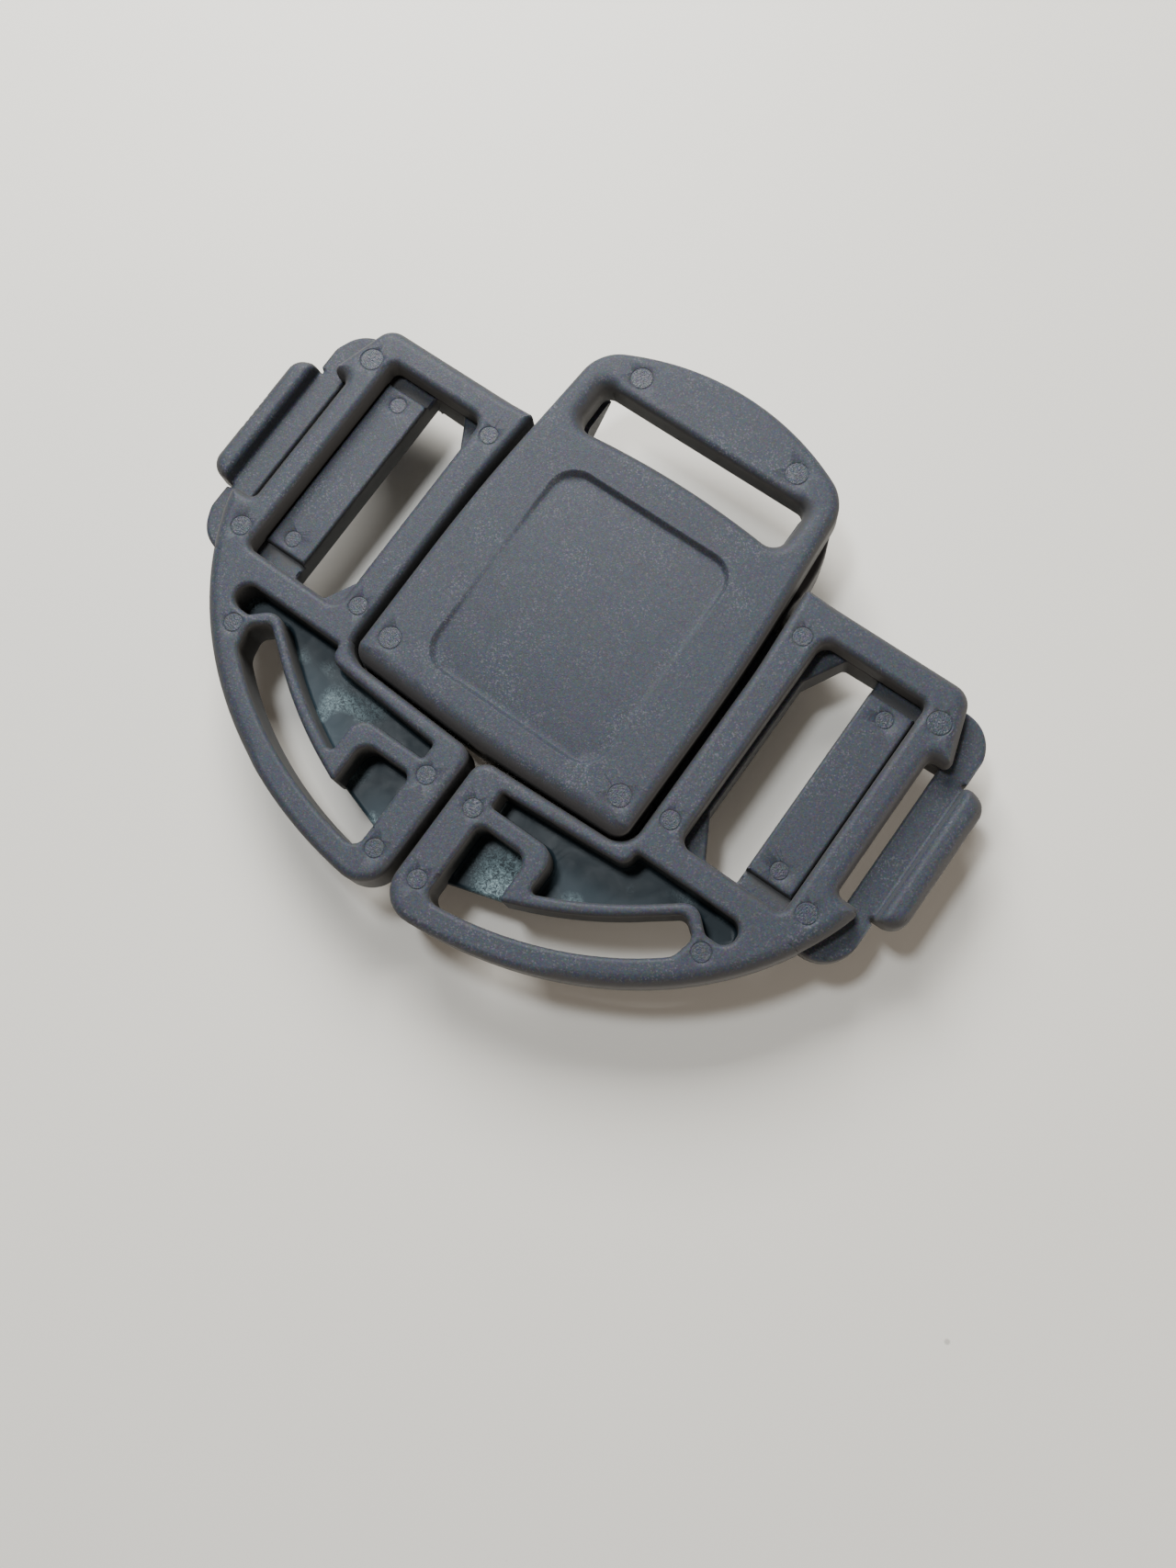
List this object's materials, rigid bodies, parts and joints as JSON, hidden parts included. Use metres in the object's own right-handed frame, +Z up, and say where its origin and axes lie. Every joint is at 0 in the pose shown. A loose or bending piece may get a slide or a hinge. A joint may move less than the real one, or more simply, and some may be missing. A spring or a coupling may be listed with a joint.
{
  "type": "harness buckle",
  "caption": "Child-harness buckle, fastened and lying back face up: a domed centre body with a strap slot, and on each side a slotted shoulder loop stacked on a waist strap tongue.",
  "frame": {"origin": "on the surface that it lies on, under the middle of its outline", "axes": "+X across the waist straps, +Y towards the domed end with the crotch strap slot, +Z up, out of the back face"},
  "size_m": [0.0914, 0.0667, 0.0117],
  "materials": {
    "grey_plastic": "fine spark-eroded grain with worn, smoother edges"
  },
  "bodies": {
    "root": {"centre_back_shell": "grey_plastic", "centre_front_shell": "grey_plastic", "release_button": "grey_plastic", "left_shoulder_loop": "grey_plastic", "right_shoulder_loop": "grey_plastic", "left_waist_tongue": "grey_plastic", "right_waist_tongue": "grey_plastic"}
  },
  "joints": []
}
